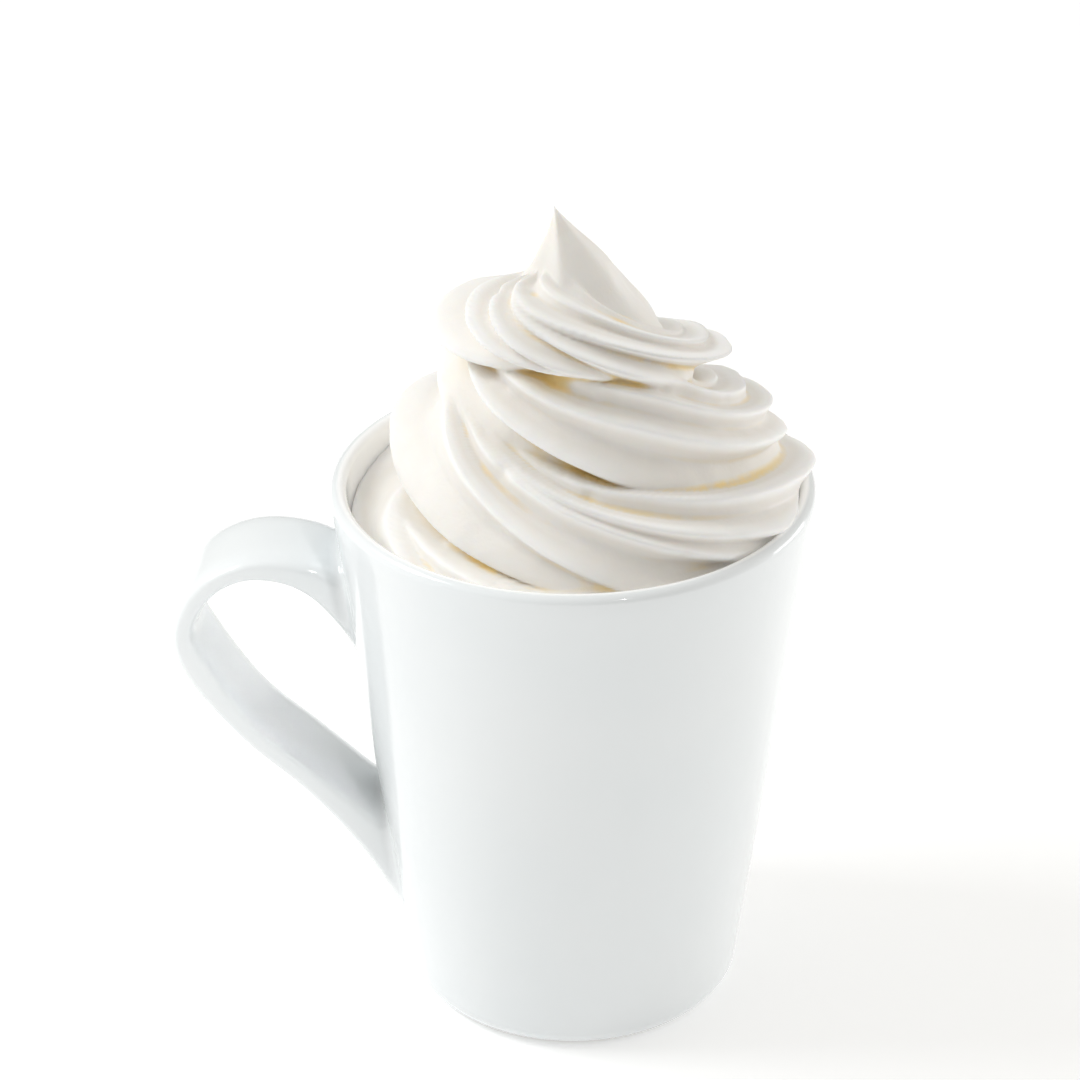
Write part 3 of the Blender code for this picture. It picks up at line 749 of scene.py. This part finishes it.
def make_glaze():
    """White glaze: paler and faintly glowing inside, both painted bounce light, and bare on the ring under
    the foot.
    """
    made, tree, shader = new_finish("white_glaze", Coat_Roughness=0.06, Specular_IOR_Level=0.5)
    wander = placed(tree, MOTTLE, Scale=28.0, Low=0.3, High=0.7)
    height, radius = object_height(tree)
    low = spread(tree, height, *BARE_BELOW, 1.0, 0.0)
    ring = math_node(tree, "MULTIPLY", low, spread(tree, radius, *BARE_OUTSIDE))
    body = mixed(tree, wander, GLAZE_COOL, GLAZE_WARM)
    cone = math_node(tree, "SUBTRACT", radius, math_node(tree, "MULTIPLY", height, MUG_FLARE))
    inside = math_node(tree, "MULTIPLY", spread(tree, cone, *LINED_WITHIN, 1.0, 0.0),
                       spread(tree, height, *LINED_ABOVE))
    # Painted bounce light: inside the cup the colour is paler, and a faint glow is added.
    painted_lining = mixed(tree, inside, body, LINING_PAINTED_LIGHT)
    tree.links.new(mixed(tree, ring, painted_lining, BARE_CLAY), shader.inputs["Base Color"])
    tree.links.new(mixed(tree, inside, NO_GLOW, PAINTED_GLOW), shader.inputs["Emission Color"])
    shader.inputs["Emission Strength"].default_value = PAINTED_GLOW_STRENGTH
    gloss = spread(tree, placed(tree, MOTTLE, Scale=90.0, Low=0.3, High=0.7), 0, 1, *GLAZE_ROUGHNESS)
    matt = math_node(tree, "MULTIPLY", ring, BARE_ROUGHNESS)
    tree.links.new(math_node(tree, "MAXIMUM", gloss, matt), shader.inputs["Roughness"])
    glazed = math_node(tree, "SUBTRACT", 1.0, ring)
    tree.links.new(math_node(tree, "MULTIPLY", glazed, GLAZE_COAT), shader.inputs["Coat Weight"])
    bump(tree, shader, placed(tree, UNEVENNESS, Coarse_Scale=70.0, Coarse_Depth=0.00012,
                              Fine_Scale=1400.0, Fine_Depth=0.000004))
    return made


glaze = make_glaze()
mug.data.materials.clear()
mug.data.materials.append(glaze)
print("glaze nodes:", len(glaze.node_tree.nodes))

# %% [markdown]
# ## Whipped cream
# Whipped cream is a soft white foam: matt, a little translucent, with a fine grain of bubbles.
# Light that has crossed it comes out warm and shade gathers between the ridges, so the hollows
# are painted with warm shade, cream to buttery yellow, in patches. The hollow attribute picks the
# places and a mottle breaks them up.
# Where the attribute is negative the point stands out, and a painted highlight makes such crests the whitest.

# %% Cream finish
CREAM_LIGHT, CREAM_DARK = (0.876, 0.852, 0.814), (0.856, 0.828, 0.786)
# The crest colour is a painted highlight; the warm and butter colours are painted shade.
CREAM_CREST_HIGHLIGHT, CREAM_WARM_SHADE, BUTTER_SHADE = (0.955, 0.950, 0.940), (0.81, 0.725, 0.59), (0.96, 0.75, 0.34)
FOAM_SCATTER = (1.0, 0.75, 0.5)
CREST, DEEP, DEEPEST, FOLD = (-1.1, 0.0), (0.8, 2.2), (0.85, 1.8), (1.9, 3.2)   # mm of hollow
PAINTED_LIGHT_SHARE, BUTTER_SHADE_SHARE = 0.8, 0.85
CREAM_ROUGHNESS = (0.42, 0.56)


def read_attribute(tree, name):
    """A named attribute's number."""
    node = tree.nodes.new("ShaderNodeAttribute")
    node.attribute_name = name
    return node.outputs["Fac"]


def make_cream():
    """Matt foam: a painted highlight on the crests, painted warm shade in the hollows and buttery painted
    shade in patches of the deepest.
    """
    made, tree, shader = new_finish(
        "whipped_cream", Subsurface_Weight=0.25, Subsurface_Scale=0.0025, Specular_IOR_Level=0.35)
    shader.inputs["Subsurface Radius"].default_value = FOAM_SCATTER
    hollow = read_attribute(tree, "hollow")
    wander = placed(tree, MOTTLE, Scale=45.0, Low=0.35, High=0.65)
    patch = placed(tree, MOTTLE, Scale=110.0, Low=0.42, High=0.52)
    body = mixed(tree, wander, CREAM_LIGHT, CREAM_DARK)
    # Painted highlight: the crests, where the hollow attribute is negative, are made paler.
    crest_highlight = math_node(tree, "MULTIPLY", spread(tree, hollow, *CREST, 1.0, 0.0), PAINTED_LIGHT_SHARE)
    pale = mixed(tree, crest_highlight, body, CREAM_CREST_HIGHLIGHT)
    # Painted shade: the hollows are darkened and warmed.
    deep = math_node(tree, "MULTIPLY", spread(tree, hollow, *DEEP), PAINTED_LIGHT_SHARE)
    warm = mixed(tree, deep, pale, CREAM_WARM_SHADE)
    # Painted shade: buttery yellow in patches of the deepest hollows and all along the folds.
    patches = math_node(tree, "MULTIPLY", spread(tree, hollow, *DEEPEST), patch)
    crease = math_node(tree, "MAXIMUM", patches, spread(tree, hollow, *FOLD))
    butter_mask = math_node(tree, "MULTIPLY", crease, BUTTER_SHADE_SHARE)
    tree.links.new(mixed(tree, butter_mask, warm, BUTTER_SHADE), shader.inputs["Base Color"])
    tree.links.new(spread(tree, wander, 0, 1, *CREAM_ROUGHNESS), shader.inputs["Roughness"])
    bump(tree, shader, placed(tree, UNEVENNESS, Coarse_Scale=260.0, Coarse_Depth=0.00025,
                              Fine_Scale=1500.0, Fine_Depth=0.00005))
    return made


cream_finish = make_cream()
cream.data.materials.append(cream_finish)
print("cream nodes:", len(cream_finish.node_tree.nodes))

# %% [markdown]
# ## The coffee
# Under the cream the mug is full of mochaccino. The solid model's own shape is right for it, so
# that node stays and only takes a better finish: dark milky coffee with paler froth on top and
# where it meets the wall.

# %% Coffee finish
COFFEE_DARK, COFFEE_LIGHT = (0.155, 0.070, 0.032), (0.235, 0.120, 0.060)
FROTH, COFFEE_ROUGHNESS = (0.56, 0.37, 0.22), (0.12, 0.45)
FROTH_BELOW_TOP, FROTH_RADIUS = (0.0012, 0.0004), (0.0300, 0.0385)


def make_coffee():
    """Milky coffee, frothy in patches of its top and next to the wall."""
    made, tree, shader = new_finish("milky_coffee", Coat_Weight=0.3, Coat_Roughness=0.1)
    height, radius = object_height(tree)
    surface = spread(tree, height, *(DRINK_LEVEL - below for below in FROTH_BELOW_TOP))
    wall = math_node(tree, "MULTIPLY", surface, spread(tree, radius, *FROTH_RADIUS))
    froth = math_node(tree, "MULTIPLY", surface, placed(tree, MOTTLE, Scale=160.0, Low=0.4, High=0.6))
    bubbles = math_node(tree, "MAXIMUM", wall, froth)
    wander = placed(tree, MOTTLE, Scale=50.0, Low=0.3, High=0.7)
    liquid = mixed(tree, wander, COFFEE_DARK, COFFEE_LIGHT)
    tree.links.new(mixed(tree, bubbles, liquid, FROTH), shader.inputs["Base Color"])
    tree.links.new(spread(tree, bubbles, 0, 1, *COFFEE_ROUGHNESS), shader.inputs["Roughness"])
    bump(tree, shader, placed(tree, UNEVENNESS, Coarse_Scale=300.0, Coarse_Depth=0.0002,
                              Fine_Scale=1200.0, Fine_Depth=0.00005))
    return made


coffee = make_coffee()
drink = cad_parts["drink"]
drink.material_slots[0].material = coffee
print("coffee nodes:", len(coffee.node_tree.nodes))

# %% [markdown]
# ## The table and the light
# The drink stands on a plain pale table in soft studio light: a bright and slightly warm room
# all round and a large cool lamp high on the left. Two weak lamps help: one low on the right
# lights the mug's edge, and one with a narrow beam lights the handle. The table is a wide sheet
# that isn't part of the object; a faint glow keeps it as white as a lit studio sweep.

# %% Table
TABLE_SIZE, TABLE_GLOW = 6.0, 0.25
TABLE_PALE, WHITE = (0.90, 0.90, 0.90), (1.0, 1.0, 1.0)


def flat_sheet(name, size, count=5):
    """Square grid of count x count points on the plane z = 0, size metres wide."""
    side = np.linspace(-size / 2, size / 2, count)
    x, y = np.meshgrid(side, side)
    points = np.stack([x, y, 0 * x], axis=-1).reshape(-1, 3)
    row, column = np.meshgrid(np.arange(count - 1), np.arange(count - 1), indexing="ij")
    here = row * count + column
    beyond = here + count
    faces = np.stack([here, here + 1, beyond + 1, beyond], axis=-1).reshape(-1, 4)
    mesh = bpy.data.meshes.new(name)
    mesh.from_pydata(points, [], faces.tolist())
    made = bpy.data.objects.new(name, mesh)
    bpy.context.scene.collection.objects.link(made)
    return made


table = flat_sheet("table", TABLE_SIZE)
table_finish = new_finish(
    "pale_table", Roughness=0.6, Specular_IOR_Level=0.2, Base_Color=(*TABLE_PALE, 1.0),
    Emission_Color=(*WHITE, 1.0), Emission_Strength=TABLE_GLOW)[0]
table.data.materials.append(table_finish)


# %% Lights
KEY_COLOUR, ROOM_COLOUR = (0.95, 0.98, 1.0), (1.0, 0.985, 0.950)
HANDLE_BEAM = math.radians(8)


def soft_lamp(name, place, target, size, power, colour=WHITE, beam=math.pi):
    """Square area lamp that faces its target, with a grid that narrows its beam to an angle."""
    lamp = bpy.data.lights.new(name, "AREA")
    lamp.size, lamp.energy, lamp.color, lamp.spread = size, power, colour, beam
    made = bpy.data.objects.new(name, lamp)
    bpy.context.scene.collection.objects.link(made)
    made.location = place
    made.rotation_euler = (Vector(target) - Vector(place)).to_track_quat("-Z", "Y").to_euler()
    return made


def room_light(tree, even, left, back, sides, above):
    """Strength in direction (x, y, z) = even - left x + back y + sides x^2 + above z."""
    place = tree.nodes.new("ShaderNodeTexCoord")
    split = tree.nodes.new("ShaderNodeSeparateXYZ")
    tree.links.new(place.outputs["Generated"], split.inputs["Vector"])
    x, y, z = split.outputs
    terms = [math_node(tree, "MULTIPLY", x, -left), math_node(tree, "MULTIPLY", y, back),
             math_node(tree, "MULTIPLY", math_node(tree, "MULTIPLY", x, x), sides),
             math_node(tree, "MULTIPLY", z, above)]
    total = even
    for term in terms:
        total = math_node(tree, "ADD", total, term)
    tree.links.new(total, tree.nodes["Background"].inputs["Strength"])


soft_lamp("key_lamp", (-0.80, 0.05, 0.85), (0, 0, 0.10), size=0.45, power=4.7, colour=KEY_COLOUR)
soft_lamp("edge_lamp", (0.60, 0.22, 0.05), (0, 0, 0.03), size=0.30, power=1.10)
soft_lamp("handle_lamp", (0.25, -0.60, 0.60), (-0.086, 0, 0.046), size=0.06, power=0.0055, beam=HANDLE_BEAM)
world = bpy.data.worlds.new("bright_room")
bpy.context.scene.world = world
world.use_nodes = True
world.node_tree.nodes["Background"].inputs["Color"].default_value = (*ROOM_COLOUR, 1.0)
room_light(world.node_tree, even=0.28, left=0.04, back=0.13, sides=0.72, above=0.40)
bpy.context.scene.view_settings.view_transform = "Standard"
